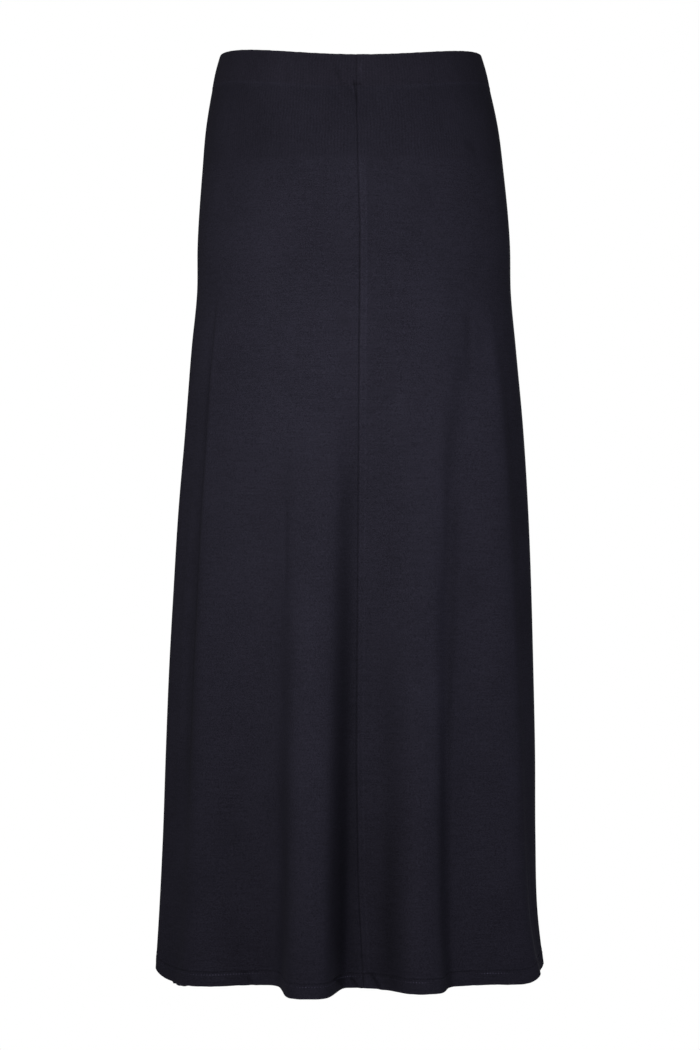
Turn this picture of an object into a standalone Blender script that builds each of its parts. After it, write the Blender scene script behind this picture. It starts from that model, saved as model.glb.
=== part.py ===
"""Maxi skirt in plain navy jersey, hollow and in its worn shape.

Metres, +Z up. The origin is the centre of the waist opening, at half the height of
the waistband, where a waist holds the skirt. The front faces -Y. Angles are in
degrees round the skirt: 0 is straight ahead (-Y), 90 is +X, the wearer's left side,
180 is the centre back and -90 is -X, the wearer's right side.

Pieces: one waistband, closed by a seam at the centre front, two front panels that
meet in the centre front seam, and one back panel. The hem is turned up inside.
"""

import math
from collections import namedtuple

import bpy
import numpy as np

MM = 0.001

# Driving dimensions, in metres
CLOTH = 1.2 * MM  # wall of a panel
HEM_WALL = 2.0 * MM  # cloth and its turn-up together
HEM_DEPTH = 17 * MM  # height of the turn-up
BAND_WALL = 2.6 * MM  # waistband with its elastic inside
BAND_PROUD = 0.4 * MM  # how far the band stands out past the panels
SEAM_GAP = 0.3 * MM
BAND_TOP = 14.5 * MM  # height of the band's top edge at the sides
BAND_FOOT = -17 * MM  # height of the waist seam at the sides
TOP_DIP = 13.5 * MM  # how much lower the top edge is at the centre front
FOOT_DIP = 15 * MM  # how much lower the waist seam is at the centre front
BACK_RISE = 4 * MM  # how much higher both are at the centre back
DIP_SHARPNESS = 3.0
HEM_LEVEL = -948.5 * MM
SQUARENESS = 0.022  # how far the diagonals stand out past an ellipse
FOLD_GROWTH = 0.85  # under 1, a fold deepens faster near its top
CREST_HEIGHT = 0.8  # height of the band's rounded top, in half walls
CREST_NARROWING = 0.25  # how far each side of it leans in, in whole walls

# Seams, in degrees
CENTRE_FRONT = 2.6
LEFT_SIDE = 90.0
RIGHT_SIDE = -90.0

# Facets
PANEL_COLUMNS = {"front_right_panel": 32, "front_left_panel": 31, "back_panel": 56}
PANEL_ROWS = 26
BAND_ROWS = 2
SLOPE_STEP = 1e-4  # step of the finite differences, in metres and in radians
HEM_SAMPLES = 1000  # points along a hem that share its columns out evenly

# How far the cloth's outer face reaches from the origin at each height, without folds
Section = namedtuple("Section", "height minus_x plus_x front back")
SECTIONS_MM = (
    Section(15, 136.3, 136.4, 104, 97),
    Section(-15, 143.6, 144.4, 108, 104),
    Section(-60, 151.4, 154.3, 112, 114),
    Section(-105, 155.3, 160, 114, 122),
    Section(-185, 160.4, 167, 114, 130),
    Section(-230, 160.8, 167.7, 113, 131),
    Section(-290, 166.6, 173, 111, 130),
    Section(-375, 173.3, 180.8, 109, 128),
    Section(-460, 180.2, 186.1, 108, 127),
    Section(-545, 185.0, 189.4, 107, 127),
    Section(-630, 189.2, 191.3, 107, 127),
    Section(-715, 192.0, 192.5, 107, 128),
    Section(-800, 194.3, 192.2, 107, 130),
    Section(-880, 197.6, 193.5, 107, 132),
    Section(-949, 201.4, 200.6, 107, 134),
)

# A fold is a strip of cloth that stands out between two flanks, or in where depth is
# negative. It starts at height top, where it has no depth, and has its full depth at
# the height full. Each flank has its middle at one angle at the fold's top and another
# at the hem, and at the hem it turns over within soft degrees either side. Softer is
# how much that width gains up to the fold's top. A bend over 1 makes both flanks turn
# to their hem angles early, and one under 1 late. Depth and rise, which is how much
# the fold lifts the hem's edge, are in mm.
Fold = namedtuple(
    "Fold",
    "top full"
    " before_top before_hem before_soft before_softer"
    " after_top after_hem after_soft after_softer"
    " bend depth rise",
)
FOLDS = (
    # Front, from the wearer's right side to the left
    Fold(-245, -330, -78, -82, 6, 0, -56.5, -63, 5, -0.8, 0.2, -6, 0),
    Fold(-245, -330, -56.5, -63, 5, -0.8, -37, -42, 8, 0, 0.2, 4.5, 0),
    Fold(-420, -949, -40, -39, 9, 0, -20.8, -21, 2.2, 1.6, 1, -25, 2),
    Fold(-360, -880, -20.6, -18.1, 2.2, 0.6, -1.8, -4.2, 1.7, 0.9, 1, 46, 0),
    Fold(-480, -900, -17, -15.5, 3.2, 0, -9, -8.5, 3.2, 0, 1, 5, 0),
    Fold(-340, -880, -1.8, -4.2, 1.7, 0.9, 12, 13, 4.5, 0.5, 1, -30, 0),
    Fold(-560, -800, -3, 1, 3, 0, 8, 10.8, 1.8, 0, 1, 6, 0),
    Fold(-250, -949, 12, 12, 4.5, 0.5, 46, 27.9, 2.4, 0.3, 6, 22, 0),
    Fold(-560, -900, 14, 12.5, 3, 0, 23, 22, 3.5, 0, 1, 4.5, 0),
    Fold(-240, -949, 46, 27.9, 2.4, 0.3, 58, 52, 8, 0, 6, -9, 2),
    Fold(-245, -345, 46, 54, 9, 0, 58, 85, 5, -0.3, 0.2, 9.5, 0),
    # Sides and back
    Fold(-560, -949, 92, 86, 5, 1, 112, 110, 6, 1, 1, 4, 4),
    Fold(-560, -949, 84, 67, 6, 0, 116, 112, 6, 0, 1, -0.5, 8.5),
    Fold(-330, -949, 112, 112, 6, 1, 134, 134, 2.5, 1, 1, -15, 0),
    Fold(-300, -949, 137, 134, 2.5, 1, 155, 152, 4, 1, 1, 27, 0),
    Fold(-280, -949, 155, 152, 4, 1, 172, 169, 2.5, 1, 1, -20, 0),
    Fold(-380, -949, 172, 169, 2.5, 1, 190, 191, 4.5, 1, 1, 20, 0),
    Fold(-300, -949, 190, 191, 4.5, 1, 207, 209, 2, 1, 1, -22, 0),
    Fold(-330, -949, 207, 209, 2, 1, 224, 228, 4, 1, 1, 30, 0),
    Fold(-280, -949, 224, 228, 4, 1, 246, 251, 6, 1, 1, -14, 0),
    Fold(-400, -949, 250, 254, 6, 1, 272, 277, 6, 1, 1, 4, 9),
)

JERSEY = {"colour": (0.017, 0.016, 0.024, 1.0), "roughness": 0.85}
BAND_JERSEY = {"colour": (0.016, 0.015, 0.022, 1.0), "roughness": 0.8}


def curve_through(heights, values, height):
    """A smooth curve through the table's values, read at each height."""
    order = np.argsort(heights)
    known = np.asarray(heights, float)[order]
    values = np.asarray(values, float)[order]
    slopes = np.gradient(values, known)
    height = np.clip(height, known[0], known[-1])
    i = np.clip(np.searchsorted(known, height) - 1, 0, len(known) - 2)
    span = known[i + 1] - known[i]
    t = (height - known[i]) / span
    start = (1 + 2 * t) * (1 - t) ** 2 * values[i]
    end = t**2 * (3 - 2 * t) * values[i + 1]
    leave = t * (1 - t) ** 2 * span * slopes[i]
    arrive = t**2 * (t - 1) * span * slopes[i + 1]
    return start + end + leave + arrive


def reach_at(column, height):
    """One column of the section table, in metres, at each height."""
    heights = [row.height for row in SECTIONS_MM]
    values = [getattr(row, column) for row in SECTIONS_MM]
    return curve_through(heights, values, np.asarray(height) / MM) * MM


def fold_share(fold, height):
    """How much of its depth a fold has at each height, from 0 to 1."""
    height = np.asarray(height) / MM
    return np.clip((fold.top - height) / (fold.top - fold.full), 0, 1) ** FOLD_GROWTH


def fold_shape(fold, angle, height):
    """The fold's cross-section, about 1 between its flanks and 0 outside them."""
    middle = (fold.before_hem + fold.after_hem) / 2
    angle = (np.asarray(angle) - middle + 180) % 360 + middle - 180
    hem = HEM_LEVEL / MM
    up = np.clip((np.asarray(height) / MM - hem) / (fold.top - hem), 0, 1)
    turned = up**fold.bend
    before = fold.before_hem + (fold.before_top - fold.before_hem) * turned
    after = fold.after_hem + (fold.after_top - fold.after_hem) * turned
    before_soft = fold.before_soft * (1 + fold.before_softer * up)
    after_soft = fold.after_soft * (1 + fold.after_softer * up)
    opening = np.tanh((angle - before) / before_soft)
    return (opening - np.tanh((angle - after) / after_soft)) / 2


def outer_face(angle, height):
    """Points on the cloth's outer face, for arrays of angles and heights."""
    turn = np.radians(angle)
    sine, cosine = np.sin(turn), np.cos(turn)
    side = np.where(sine < 0, reach_at("minus_x", height), reach_at("plus_x", height))
    ahead = np.where(cosine > 0, reach_at("front", height), reach_at("back", height))
    square = 1 + SQUARENESS * np.sin(2 * turn) ** 2
    folds = sum(
        fold.depth * MM * fold_share(fold, height) * fold_shape(fold, angle, height)
        for fold in FOLDS
    )
    normal_x, normal_y = ahead * sine, -side * cosine
    length = np.hypot(normal_x, normal_y)
    x = side * sine * square + folds * normal_x / length
    y = -ahead * cosine * square + folds * normal_y / length
    return np.stack([x, y, height + 0 * x], axis=-1)


def outward(angle, height):
    """Unit normals of the outer face."""
    step = math.degrees(SLOPE_STEP)
    along = outer_face(angle + step, height) - outer_face(angle - step, height)
    up = outer_face(angle, height + SLOPE_STEP) - outer_face(angle, height - SLOPE_STEP)
    normal = np.cross(along, up)
    return normal / np.linalg.norm(normal, axis=-1, keepdims=True)


def waist_line(angle, at_sides, dip):
    """Height of a line round the waist that dips in front and rises behind."""
    cosine = np.cos(np.radians(np.asarray(angle) - CENTRE_FRONT))
    in_front = np.clip(cosine, 0, 1) ** DIP_SHARPNESS
    behind = np.clip(-cosine, 0, 1) ** 2
    return at_sides - dip * in_front + BACK_RISE * behind


def hem_line(angle):
    """Height of the hem's edge."""
    lift = sum(fold.rise * MM * fold_shape(fold, angle, HEM_LEVEL) for fold in FOLDS)
    return HEM_LEVEL + lift


def seam_shift(angle, height):
    """Half of the seam gap, as degrees round the skirt at each place."""
    across = outer_face(angle + 0.5, height) - outer_face(angle - 0.5, height)
    metres_per_degree = np.linalg.norm(across, axis=-1)
    return (SEAM_GAP / 2) / metres_per_degree


def even_angles(first, last, count):
    """Angles from first to last that share out the hem's edge evenly."""
    angles = np.linspace(first, last, HEM_SAMPLES)
    edge = outer_face(angles, hem_line(angles))
    steps = np.linalg.norm(np.diff(edge, axis=0), axis=1)
    along = np.concatenate([[0], np.cumsum(steps)])
    return np.interp(np.linspace(0, along[-1], count + 1), along, angles)


def panel_angles():
    """The columns of each panel, as angles from seam to seam."""
    ends = {
        "front_right_panel": (RIGHT_SIDE, CENTRE_FRONT),
        "front_left_panel": (CENTRE_FRONT, LEFT_SIDE),
        "back_panel": (LEFT_SIDE, RIGHT_SIDE + 360),
    }
    return {name: even_angles(*ends[name], PANEL_COLUMNS[name]) for name in ends}


def open_ends(angles, heights):
    """A grid of angles whose end columns stand back from their seams."""
    grid = np.repeat(angles[None, :], heights.shape[0], axis=0)
    grid[:, 0] += seam_shift(grid[:, 0], heights[:, 0])
    grid[:, -1] -= seam_shift(grid[:, -1], heights[:, -1])
    return grid


def ring_faces(columns, loop):
    """Faces of a strip whose columns are closed loops, with quad end caps."""
    faces = []
    for c in range(columns - 1):
        for k in range(loop):
            nxt = (k + 1) % loop
            here, there = c * loop, (c + 1) * loop
            faces.append((here + k, here + nxt, there + nxt, there + k))
    half = loop // 2
    last = (columns - 1) * loop
    for k in range(half - 1):
        back = loop - 1 - k
        faces.append((k, back, back - 1, k + 1))
        faces.append((last + k, last + k + 1, last + back - 1, last + back))
    return faces


def jersey_material(name, look):
    material = bpy.data.materials.new(name)
    material.use_nodes = True
    shader = material.node_tree.nodes["Principled BSDF"]
    shader.inputs["Base Color"].default_value = look["colour"]
    shader.inputs["Roughness"].default_value = look["roughness"]
    shader.inputs["Metallic"].default_value = 0.0
    material.diffuse_color = look["colour"]
    return material


def add_wall(name, outer, inner, material):
    """One closed solid from matching grids of outer and inner points."""
    rows, columns = outer.shape[:2]
    loops = np.concatenate([outer, inner[::-1]], axis=0)
    points = loops.transpose(1, 0, 2).reshape(-1, 3)
    mesh = bpy.data.meshes.new(name)
    mesh.from_pydata(points.tolist(), [], ring_faces(columns, 2 * rows))
    mesh.shade_smooth()
    mesh.set_sharp_from_angle(angle=math.radians(40))
    mesh.materials.append(material)
    wall = bpy.data.objects.new(name, mesh)
    bpy.context.scene.collection.objects.link(wall)
    return wall


def panel(name, angles, parent, material):
    """A panel from the waist seam to the hem, thicker over its turn-up."""
    top = waist_line(angles, BAND_FOOT, FOOT_DIP) - SEAM_GAP / 2
    bottom = hem_line(angles)
    down = np.linspace(0, 1, PANEL_ROWS - 2)[:, None]
    body = top + (bottom + HEM_DEPTH - top) * down
    fold = (bottom + HEM_DEPTH - 2 * HEM_WALL)[None, :]
    heights = np.concatenate([body, fold, bottom[None, :]])
    walls = np.full((PANEL_ROWS, 1, 1), CLOTH)
    walls[-2:] = HEM_WALL
    grid = open_ends(angles, heights)
    outer = outer_face(grid, heights)
    inner = outer - walls * outward(grid, heights)
    wall = add_wall(name, outer, inner, material)
    wall.parent = parent


def waistband(angles, parent, material):
    """A flat loop round the waist with a round top edge, closed at the front."""
    foot = waist_line(angles, BAND_FOOT, FOOT_DIP) + SEAM_GAP / 2
    top = waist_line(angles, BAND_TOP, TOP_DIP)
    radius = BAND_WALL / 2
    down = np.linspace(0, 1, BAND_ROWS + 1)[:, None]
    sides = (top - radius) + (foot - top + radius) * down
    heights = np.concatenate([sides[:1], sides])
    grid = open_ends(angles, heights)
    face = outer_face(grid, heights)
    normal = outward(grid, heights)
    outer = face + BAND_PROUD * normal
    inner = outer - BAND_WALL * normal
    # The first row is the crest of the rounded top edge
    crest = np.array([0, 0, radius * CREST_HEIGHT])
    lean = normal[0] * BAND_WALL * CREST_NARROWING
    outer[0] += crest - lean
    inner[0] += crest + lean
    wall = add_wall("waistband", outer, inner, material)
    wall.parent = parent


def main():
    for old in list(bpy.data.objects):
        bpy.data.objects.remove(old)
    skirt = bpy.data.objects.new("skirt", None)
    bpy.context.scene.collection.objects.link(skirt)

    jersey = jersey_material("navy_jersey", JERSEY)
    band_jersey = jersey_material("navy_band_jersey", BAND_JERSEY)
    columns = panel_angles()
    for name, angles in columns.items():
        panel(name, angles, skirt, jersey)

    once_round = np.concatenate(
        [
            columns["front_left_panel"],
            columns["back_panel"][1:],
            columns["front_right_panel"][1:] + 360,
        ]
    )
    waistband(once_round, skirt, band_jersey)


if __name__ == "__main__":
    main()
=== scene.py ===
"""Looks of the maxi skirt: four shells of jersey, their seams and their stitches.

Metres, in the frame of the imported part: +Z up, the front faces -Y, and the origin is
the centre of the waist opening. Angles are in degrees round the skirt, with 0 straight
ahead (-Y), 90 at +X (the wearer's left side), 180 behind and -90 at -X.
"""

import math
from collections import namedtuple

import bpy
import numpy as np
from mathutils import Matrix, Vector


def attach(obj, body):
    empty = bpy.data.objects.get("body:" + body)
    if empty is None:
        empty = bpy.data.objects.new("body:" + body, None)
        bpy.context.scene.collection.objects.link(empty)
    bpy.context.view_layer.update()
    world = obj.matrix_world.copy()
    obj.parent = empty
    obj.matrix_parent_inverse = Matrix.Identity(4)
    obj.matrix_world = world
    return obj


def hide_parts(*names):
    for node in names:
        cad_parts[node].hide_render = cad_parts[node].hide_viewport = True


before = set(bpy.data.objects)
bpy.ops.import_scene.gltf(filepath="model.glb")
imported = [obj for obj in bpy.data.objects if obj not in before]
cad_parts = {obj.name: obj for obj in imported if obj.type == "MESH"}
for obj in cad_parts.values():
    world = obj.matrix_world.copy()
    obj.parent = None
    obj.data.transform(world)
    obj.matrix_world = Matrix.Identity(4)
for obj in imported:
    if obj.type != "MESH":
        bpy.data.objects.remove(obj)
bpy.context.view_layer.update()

MM = 0.001

# The form of the cloth, as the part's solids have it
CLOTH = 1.2 * MM
HEM_WALL = 2.0 * MM  # wall of the turned-up hem
HEM_DEPTH = 17 * MM
BAND_WALL = 2.6 * MM
BAND_PROUD = 0.4 * MM  # how far the band stands out from the panels
BAND_TOP = 14.5 * MM  # heights at the side seams
BAND_FOOT = -17 * MM
TOP_DIP = 13.5 * MM  # how far the band's edges dip in front
FOOT_DIP = 15 * MM
BACK_RISE = 4 * MM
DIP_SHARPNESS = 3.0
HEM_LEVEL = -948.5 * MM
SQUARENESS = 0.022  # how much fuller than an ellipse a section is between its axes
FOLD_GROWTH = 0.85  # under 1, so that a fold deepens fastest at its top
CENTRE_FRONT = 2.6  # angles of the three seams
LEFT_SIDE = 90.0
RIGHT_SIDE = -90.0

# How far the form reaches from its axis at each height, before its folds, all in mm
Section = namedtuple("Section", "height minus_x plus_x front back")
SECTIONS_MM = (
    Section(15, 136.3, 136.4, 104, 97),
    Section(-15, 143.6, 144.4, 108, 104),
    Section(-60, 151.4, 154.3, 112, 114),
    Section(-105, 155.3, 160, 114, 122),
    Section(-185, 160.4, 167, 114, 130),
    Section(-230, 160.8, 167.7, 113, 131),
    Section(-290, 166.6, 173, 111, 130),
    Section(-375, 173.3, 180.8, 109, 128),
    Section(-460, 180.2, 186.1, 108, 127),
    Section(-545, 185.0, 189.4, 107, 127),
    Section(-630, 189.2, 191.3, 107, 127),
    Section(-715, 192.0, 192.5, 107, 128),
    Section(-800, 194.3, 192.2, 107, 130),
    Section(-880, 197.6, 193.5, 107, 132),
    Section(-949, 201.4, 200.6, 107, 134),
)

# A fold is a strip of cloth that stands out between two flanks, or in where depth is
# negative. It starts at height top, where it has no depth, and has its full depth at
# the height full. Each flank has its middle at one angle at the fold's top and another
# at the hem, and at the hem it turns over within soft degrees either side. Softer is
# how much that width gains up to the fold's top. A bend over 1 makes both flanks turn
# to their hem angles early, and one under 1 late. Depth and rise, which is how much
# the fold lifts the hem's edge, are in mm.
Fold = namedtuple(
    "Fold",
    "top full"
    " before_top before_hem before_soft before_softer"
    " after_top after_hem after_soft after_softer"
    " bend depth rise",
)
FOLDS = (
    # Front, from the wearer's right side to the left
    Fold(-245, -330, -78, -82, 6, 0, -56.5, -63, 5, -0.8, 0.2, -6, 0),
    Fold(-245, -330, -56.5, -63, 5, -0.8, -37, -42, 8, 0, 0.2, 4.5, 0),
    Fold(-420, -949, -40, -39, 9, 0, -20.8, -21, 2.2, 1.6, 1, -25, 2),
    Fold(-360, -880, -20.6, -18.1, 2.2, 0.6, -1.8, -4.2, 1.7, 0.9, 1, 46, 0),
    Fold(-480, -900, -17, -15.5, 3.2, 0, -9, -8.5, 3.2, 0, 1, 5, 0),
    Fold(-340, -880, -1.8, -4.2, 1.7, 0.9, 12, 13, 4.5, 0.5, 1, -30, 0),
    Fold(-560, -800, -3, 1, 3, 0, 8, 10.8, 1.8, 0, 1, 6, 0),
    Fold(-250, -949, 12, 12, 4.5, 0.5, 46, 27.9, 2.4, 0.3, 6, 22, 0),
    Fold(-560, -900, 14, 12.5, 3, 0, 23, 22, 3.5, 0, 1, 4.5, 0),
    Fold(-240, -949, 46, 27.9, 2.4, 0.3, 58, 52, 8, 0, 6, -9, 2),
    Fold(-245, -345, 46, 54, 9, 0, 58, 85, 5, -0.3, 0.2, 9.5, 0),
    # Sides and back
    Fold(-560, -949, 92, 86, 5, 1, 112, 110, 6, 1, 1, 4, 4),
    Fold(-560, -949, 84, 67, 6, 0, 116, 112, 6, 0, 1, -0.5, 8.5),
    Fold(-330, -949, 112, 112, 6, 1, 134, 134, 2.5, 1, 1, -15, 0),
    Fold(-300, -949, 137, 134, 2.5, 1, 155, 152, 4, 1, 1, 27, 0),
    Fold(-280, -949, 155, 152, 4, 1, 172, 169, 2.5, 1, 1, -20, 0),
    Fold(-380, -949, 172, 169, 2.5, 1, 190, 191, 4.5, 1, 1, 20, 0),
    Fold(-300, -949, 190, 191, 4.5, 1, 207, 209, 2, 1, 1, -22, 0),
    Fold(-330, -949, 207, 209, 2, 1, 224, 228, 4, 1, 1, 30, 0),
    Fold(-280, -949, 224, 228, 4, 1, 246, 251, 6, 1, 1, -14, 0),
    Fold(-400, -949, 250, 254, 6, 1, 272, 277, 6, 1, 1, 4, 9),
)

# The visual mesh. Columns stand closer beside the seams, and rows closer at the hem and
# under the band, at these distances from them.
COLUMN_STEP = 2.55 * MM  # between the other columns, at the hem
ROW_STEP = 6.5 * MM  # between the other rows
SEAM_COLUMNS_MM = (
    0, 0.35, 0.7, 1.1, 1.6, 2.1, 2.6, 3.2, 4.2, 5.6, 6.3, 6.8, 7.4, 8.2, 9.2, 10.8, 12.6,
)
HEM_ROWS_MM = (
    0, 0.15, 0.45, 1, 2, 3.5, 5, 6.8, 8.6, 10.2, 11.4, 12, 12.6, 13.5, 14.4, 15, 15.6,
    16.4, 17, 17.6, 18.4, 20, 23, 28,
)
WAIST_ROWS_MM = (0, 2.2, 3, 3.6, 4.4, 5.4, 6.6, 8, 10, 12.5, 16, 21)
TUCK_UNDER_BAND = 3 * MM  # how far the panels' cloth runs up inside the band
ARC_SAMPLES = 900  # places that a panel's width is measured through
HEM_SAMPLES = 3600  # places that the whole hem is measured through
SLOPE_STEP = 1e-4  # a small rise in metres, or a small turn in radians, for normals
SHARP_BEND = 50  # degrees above which an edge isn't shaded smooth
EDGE_RADIUS = 0.45 * MM  # of the folded edges

# The knit has a rib above this height and slubs below it
RIB_FOOT = -103 * MM
RIB_BLEND = 2 * MM
RIB_COUNT = 300  # ribs round the skirt
RIB_SHARE = 0.03
UPPER_DARKER = 0.05  # how much darker the ribbed cloth is

# The noises that make up the knit: how fine each is along x, y and z, and its share
Grain = namedtuple("Grain", "fineness detail share", defaults=(1.0,))
SLUBS = Grain((60, 60, 1300), 1.0, 0.22)
LOOPS = Grain((950, 950, 1900), 1.0)
RIB_WANDER = Grain((25, 25, 60), 1.0, 9.0)
SPECKS = Grain((1300, 1300, 1300), 1.0, 0.62)
STREAKS = Grain((420, 420, 60), 1.0, 0.07)
MOTTLE = Grain((18, 18, 12), 3.0, 0.22)
SPECKS_BASE = 0.25

# The cloth's surface. Its grain goes between the dark and the light colour.
PANEL_COLOURS = ((0.0100, 0.0093, 0.0145, 1), (0.0212, 0.0198, 0.0302, 1))
BAND_COLOURS = ((0.0104, 0.0094, 0.0145, 1), (0.0220, 0.0200, 0.0300, 1))
COLOUR_SPREAD = (0.585, 0.855)  # values of the grain that have those two colours
ROUGH_SPREAD = (0.45, 0.85)  # values of the grain that have these two roughnesses
ROUGHNESS = (0.99, 0.88)
SPECULAR = 0.12
BUMP_STRENGTH = 0.25
BUMP_DISTANCE = 0.15 * MM

# The centre front seam leans a little to either side on its way down, heights in mm
Lean = namedtuple("Lean", "height degrees")
SEAM_LEAN = (
    Lean(-948, 1.4),
    Lean(-921, 0.95),
    Lean(-885, 0.35),
    Lean(-839, -0.3),
    Lean(-716, -0.85),
    Lean(-654, -0.7),
    Lean(-532, -0.35),
    Lean(-451, -0.2),
    Lean(-349, 0.0),
    Lean(-289, 0.15),
    Lean(-228, 0.5),
    Lean(-168, 0.5),
    Lean(-107, -0.05),
    Lean(-56, -0.35),
    Lean(-10, -0.4),
)
LEAN_WIDTH = 8  # degrees beside the seam that lean with it

# Every seam is a narrow dip with a darker line in it. The line is fainter low down and
# over the hips, and it comes and goes a little.
SEAM_DEPTH = 0.6 * MM
SEAM_WIDTH = 0.65 * MM
SEAM_SHADE = 0.42
SEAM_SHADE_LOW = 0.58  # share of the shade near the hem
SEAM_SHADE_GAIN = 0.42  # share that it gains up to the hips, by STRIP_FADE
SEAM_SHADE_LOSS = 0.35  # share that it loses over the hips, by SEAM_SHADE_TOP
SEAM_SHADE_TOP = (-235 * MM, -175 * MM)
SEAM_UNEVEN = 0.2
SEAM_UNEVEN_SHORT = 4.5 * MM
SEAM_UNEVEN_LONG = 11 * MM

# The allowance of the centre front seam shows through as a strip beside it, on the
# wearer's left. Distances are from the seam.
STRIP_START = (0.8 * MM, 1.8 * MM)
STRIP_END = (7 * MM, 9 * MM)
STRIP_FADE = (-440 * MM, -250 * MM)  # heights between which it comes up
STRIP_LOW = 0.2  # share of it that shows below them
STRIP_GAIN = 0.8
STRIP_TOP = (RIB_FOOT, RIB_FOOT + 1.5 * MM)
STRIP_PROUD = 0.35 * MM
# The raised strip is painted lighter, as painted light, and painted highlights run along its
# two pressed edges
STRIP_PAINTED_LIGHT = 0.12
STRIP_HIGHLIGHT_LINES = (2.2 * MM, 6.9 * MM)  # pressed lines along it
STRIP_HIGHLIGHT = 0.11
STRIP_HIGHLIGHT_WIDTH = 0.7 * MM

# The allowances of the side seams are pressed towards the back
SIDE_STRIP_START = (0.8 * MM, 2 * MM)
SIDE_STRIP_END = (8 * MM, 10 * MM)
SIDE_STRIP_PROUD = 0.3 * MM

# The waist seam, at distances below the band's foot
WAIST_RIDGE = 0.45 * MM
WAIST_RIDGE_BELOW = 1.5 * MM
WAIST_RIDGE_WIDTH = 2.4 * MM
WAIST_PUCKER = 0.12 * MM
WAIST_PUCKER_WIDTH = 12 * MM
# A painted highlight runs along the ridge of the waist seam, fainter at the centres front and
# back
WAIST_HIGHLIGHT = 0.22
WAIST_LIGHT_BELOW = 1.2 * MM
WAIST_LIGHT_WIDTH = 1.6 * MM
WAIST_LIGHT_LOSS = 0.8  # share of that light that is missing at the centres
WAIST_LIGHT_GAP = 0.3  # width of the gap in it, as a sine

# The hem, at distances above its edge
HEM_WAVER = 0.15 * MM
HEM_PUCKER = 0.12 * MM
HEM_PUCKER_END = (10 * MM, 24 * MM)
HEM_RIDGE = 0.3 * MM  # the doubled cloth stands out
HEM_RIDGE_END = (HEM_DEPTH - 0.6 * MM, HEM_DEPTH + 0.8 * MM)
HEM_WALL_END = (HEM_DEPTH - 0.4 * MM, HEM_DEPTH + 0.4 * MM)
HEM_LINE_SUNK = 0.4 * MM  # the cloth dips where the upper row of stitches pulls it in
HEM_LINE_SUNK_WIDTH = 0.8 * MM
# Painted shade in that dip along the upper row of stitches
HEM_LINE_SHADE = 0.3
HEM_LINE_WIDTH = 0.6 * MM
EDGE_LIGHT = 0.3  # the folded edges catch light from above and below
EDGE_LIGHT_WIDTH = 1.1 * MM

# The hem's stitches
STITCH_ROWS = (15 * MM, 12 * MM)  # above the hem's edge
STITCH_PITCH = 3.0 * MM
STITCH_LENGTH = 0.75 * MM
STITCH_RADIUS = 0.32 * MM
STITCH_TALL = 1.6  # how much taller than deep a stitch is
STITCH_SUNK = 0.15 * MM  # the cloth dips under the lower row
STITCH_SUNK_WIDTH = 0.7 * MM
STITCH_CORNERS = 5

# Rings of points make up a stitch: the place of each along its half-length, and its
# width and lift as shares of the radius
Ring = namedtuple("Ring", "along width lift")
STITCH_RINGS = (
    Ring(-1, 0.5, -0.9),
    Ring(-0.75, 1, 0.3),
    Ring(0.75, 1, 0.3),
    Ring(1, 0.5, -0.9),
)

# The thread is lighter than the cloth, mostly at the angles where it catches the light
THREAD_LIGHT = (1.1, 6.8)  # how light each row's thread is there, the cloth being 1
THREAD_LEAST = 0.12
THREAD_EVEN = 0.8
THREAD_UNEVEN = 0.2
ThreadShine = namedtuple("ThreadShine", "angle width")
THREAD_SHINES = (
    ThreadShine(-41, 9),
    ThreadShine(-10.4, 2.7),
    ThreadShine(-0.8, 1.6),
    ThreadShine(18.8, 2.6),
    ThreadShine(46.6, 4.5),
    ThreadShine(104, 7),
    ThreadShine(143, 5),
    ThreadShine(178, 8),
    ThreadShine(216, 4),
    ThreadShine(251, 9),
)

# The waistband
BAND_COLUMNS = 620
BAND_ROWS = (0, 0.006, 0.02, 0.045, 0.09, 0.2, 0.35, 0.5, 0.65, 0.8, 0.9, 0.95, 0.98, 0.992, 1)
BAND_RIB = 0.06 * MM
BAND_SWELL = 0.5 * MM  # how far its middle swells out
BAND_WAVER = 0.1 * MM
BAND_DIP = 0.6 * MM  # the dip where the centre front seam crosses the waist seam
BAND_DIP_WIDTH = 2.4 * MM
BAND_STRIP_START = (1 * MM, 2 * MM)
BAND_STRIP_END = (8 * MM, 10 * MM)
BAND_STRIP_PROUD = 0.3 * MM
BAND_INSIDE = 0.3  # share of the relief that its inner face follows
BAND_SEAM_SHADE = 0.5  # share of SEAM_SHADE in its seam
BAND_LIGHT_WIDTH = 1.3 * MM

# Small uneven waves, which go round the skirt this many times
Wave = namedtuple("Wave", "count phase share")
PUCKER_WAVES = (
    Wave(67, 0.4, 1.0),
    Wave(101, 2.1, 0.8),
    Wave(43, 4.4, 0.9),
    Wave(149, 1.2, 0.5),
)
SHINE_WAVES = (
    Wave(9, 1.0, 1.1),
    Wave(23, 2.6, 0.9),
    Wave(317, 0.5, 0.7),
)
BAND_RIBS = (
    Wave(230, 0.3, 1.0),
    Wave(311, 1.7, 0.8),
    Wave(173, 3.9, 0.9),
    Wave(97, 2.2, 0.7),
)
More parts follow.
